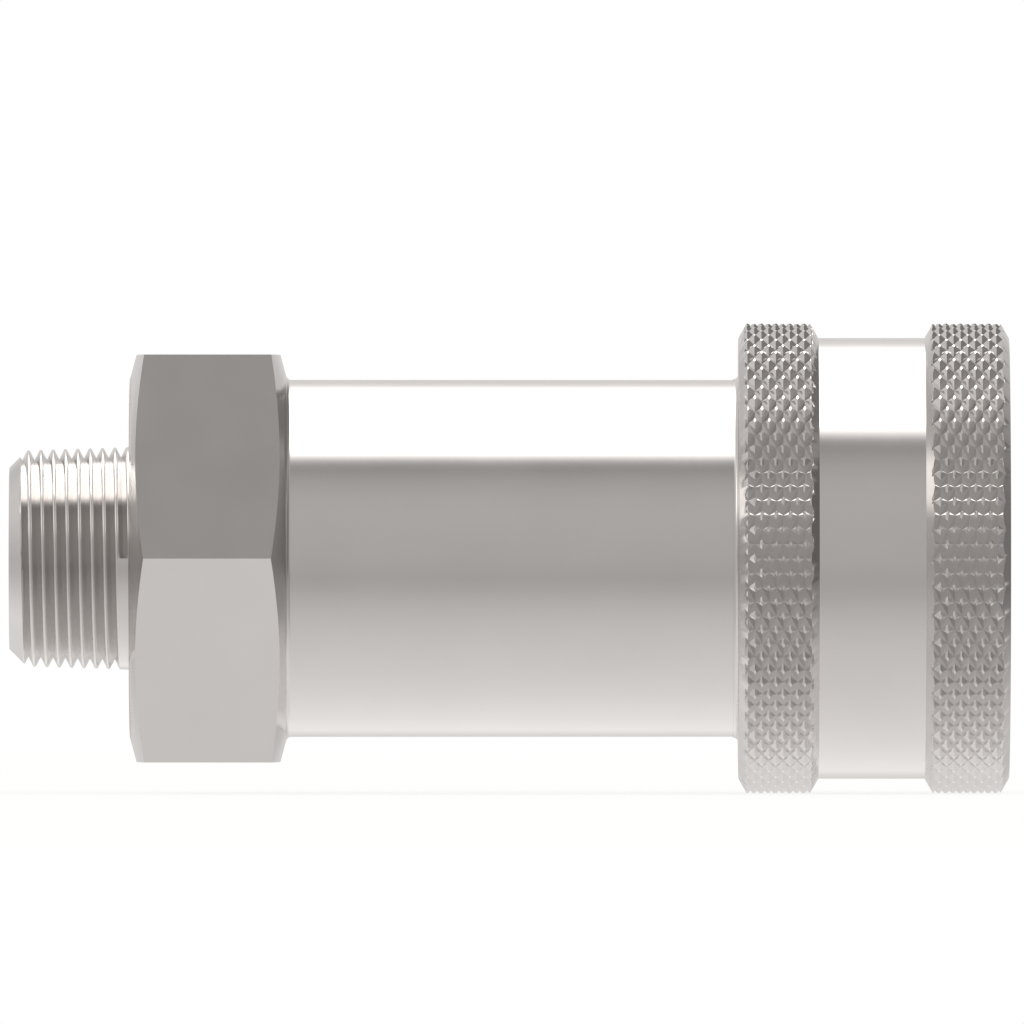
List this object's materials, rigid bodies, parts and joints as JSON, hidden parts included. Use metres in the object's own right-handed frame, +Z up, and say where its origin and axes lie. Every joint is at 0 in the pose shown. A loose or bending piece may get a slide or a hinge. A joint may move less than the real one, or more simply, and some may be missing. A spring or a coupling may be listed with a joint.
{
  "type": "quick coupling socket",
  "caption": "Hydraulic quick coupling socket: male taper thread, large hexagon, plain tube and a knurled sliding sleeve that locks a plug with balls round a spring-closed valve.",
  "frame": {"origin": "centre of the taper thread's end face, where the port bore opens", "axes": "+X along the axis from the thread to the socket's mouth, +Z up through a flat of the hexagon"},
  "size_m": [0.1871, 0.088, 0.0878],
  "materials": {
    "body_steel": "fine turned steel, plated, light grey",
    "sleeve_steel": "turned and diamond-knurled steel, plated, light grey",
    "valve_steel": "turned stainless steel",
    "washer_steel": "ground steel",
    "spring_steel": "drawn spring steel",
    "ball_steel": "polished bearing steel",
    "seal_rubber": "matt black nitrile rubber",
    "backup_plastic": "off-white filled plastic"
  },
  "bodies": {
    "coupling_body": {"rear_body": "body_steel", "front_body": "body_steel", "sleeve_stop_ring": "spring_steel", "sleeve_spring": "spring_steel", "plug_seal": "seal_rubber", "plug_backup_ring": "backup_plastic", "body_seal": "seal_rubber", "body_backup_ring": "backup_plastic", "valve_spring": "spring_steel", "valve_guide": "valve_steel", "guide_retaining_ring": "spring_steel"},
    "sleeve_carrier": {"spring_washer": "washer_steel"},
    "sleeve": {"sleeve": "sleeve_steel"},
    "poppet": {"valve_poppet": "valve_steel", "poppet_seal": "seal_rubber", "seal_retainer": "valve_steel"},
    "lock_ball_01": {"lock_ball_01": "ball_steel"},
    "lock_ball_02": {"lock_ball_02": "ball_steel"},
    "lock_ball_03": {"lock_ball_03": "ball_steel"},
    "lock_ball_04": {"lock_ball_04": "ball_steel"},
    "lock_ball_05": {"lock_ball_05": "ball_steel"},
    "lock_ball_06": {"lock_ball_06": "ball_steel"},
    "lock_ball_07": {"lock_ball_07": "ball_steel"},
    "lock_ball_08": {"lock_ball_08": "ball_steel"},
    "lock_ball_09": {"lock_ball_09": "ball_steel"},
    "lock_ball_10": {"lock_ball_10": "ball_steel"},
    "lock_ball_11": {"lock_ball_11": "ball_steel"},
    "lock_ball_12": {"lock_ball_12": "ball_steel"}
  },
  "joints": [
    {"name": "sleeve_slide", "type": "slide", "parent": "coupling_body", "child": "sleeve_carrier", "axis": [-1, 0, 0], "range_m": [0, 0.008], "stiffness_N_per_m": 6000, "springref_m": -0.008, "deforming": ["sleeve_spring"]},
    {"name": "sleeve_turn", "type": "hinge", "parent": "sleeve_carrier", "child": "sleeve", "pos_m": [0.16, 0, 0], "axis": [1, 0, 0], "continuous": true},
    {"name": "poppet_slide", "type": "slide", "parent": "coupling_body", "child": "poppet", "axis": [-1, 0, 0], "range_m": [0, 0.009], "stiffness_N_per_m": 2000, "springref_m": -0.012, "deforming": ["valve_spring"]},
    {"name": "ball_01_out", "type": "slide", "parent": "coupling_body", "child": "lock_ball_01", "axis": [0, 1, 0], "range_m": [0, 0.00176]},
    {"name": "ball_02_out", "type": "slide", "parent": "coupling_body", "child": "lock_ball_02", "axis": [0, 0.866, 0.5], "range_m": [0, 0.00176]},
    {"name": "ball_03_out", "type": "slide", "parent": "coupling_body", "child": "lock_ball_03", "axis": [0, 0.5, 0.866], "range_m": [0, 0.00176]},
    {"name": "ball_04_out", "type": "slide", "parent": "coupling_body", "child": "lock_ball_04", "axis": [0, 0, 1], "range_m": [0, 0.00176]},
    {"name": "ball_05_out", "type": "slide", "parent": "coupling_body", "child": "lock_ball_05", "axis": [0, -0.5, 0.866], "range_m": [0, 0.00176]},
    {"name": "ball_06_out", "type": "slide", "parent": "coupling_body", "child": "lock_ball_06", "axis": [0, -0.866, 0.5], "range_m": [0, 0.00176]},
    {"name": "ball_07_out", "type": "slide", "parent": "coupling_body", "child": "lock_ball_07", "axis": [0, -1, 0], "range_m": [0, 0.00176]},
    {"name": "ball_08_out", "type": "slide", "parent": "coupling_body", "child": "lock_ball_08", "axis": [0, -0.866, -0.5], "range_m": [0, 0.00176]},
    {"name": "ball_09_out", "type": "slide", "parent": "coupling_body", "child": "lock_ball_09", "axis": [0, -0.5, -0.866], "range_m": [0, 0.00176]},
    {"name": "ball_10_out", "type": "slide", "parent": "coupling_body", "child": "lock_ball_10", "axis": [0, 0, -1], "range_m": [0, 0.00176]},
    {"name": "ball_11_out", "type": "slide", "parent": "coupling_body", "child": "lock_ball_11", "axis": [0, 0.5, -0.866], "range_m": [0, 0.00176]},
    {"name": "ball_12_out", "type": "slide", "parent": "coupling_body", "child": "lock_ball_12", "axis": [0, 0.866, -0.5], "range_m": [0, 0.00176]}
  ],
  "couplings": [
    {"joint": "ball_01_out", "follows": "sleeve_slide", "ratio": 0.22},
    {"joint": "ball_02_out", "follows": "sleeve_slide", "ratio": 0.22},
    {"joint": "ball_03_out", "follows": "sleeve_slide", "ratio": 0.22},
    {"joint": "ball_04_out", "follows": "sleeve_slide", "ratio": 0.22},
    {"joint": "ball_05_out", "follows": "sleeve_slide", "ratio": 0.22},
    {"joint": "ball_06_out", "follows": "sleeve_slide", "ratio": 0.22},
    {"joint": "ball_07_out", "follows": "sleeve_slide", "ratio": 0.22},
    {"joint": "ball_08_out", "follows": "sleeve_slide", "ratio": 0.22},
    {"joint": "ball_09_out", "follows": "sleeve_slide", "ratio": 0.22},
    {"joint": "ball_10_out", "follows": "sleeve_slide", "ratio": 0.22},
    {"joint": "ball_11_out", "follows": "sleeve_slide", "ratio": 0.22},
    {"joint": "ball_12_out", "follows": "sleeve_slide", "ratio": 0.22}
  ]
}
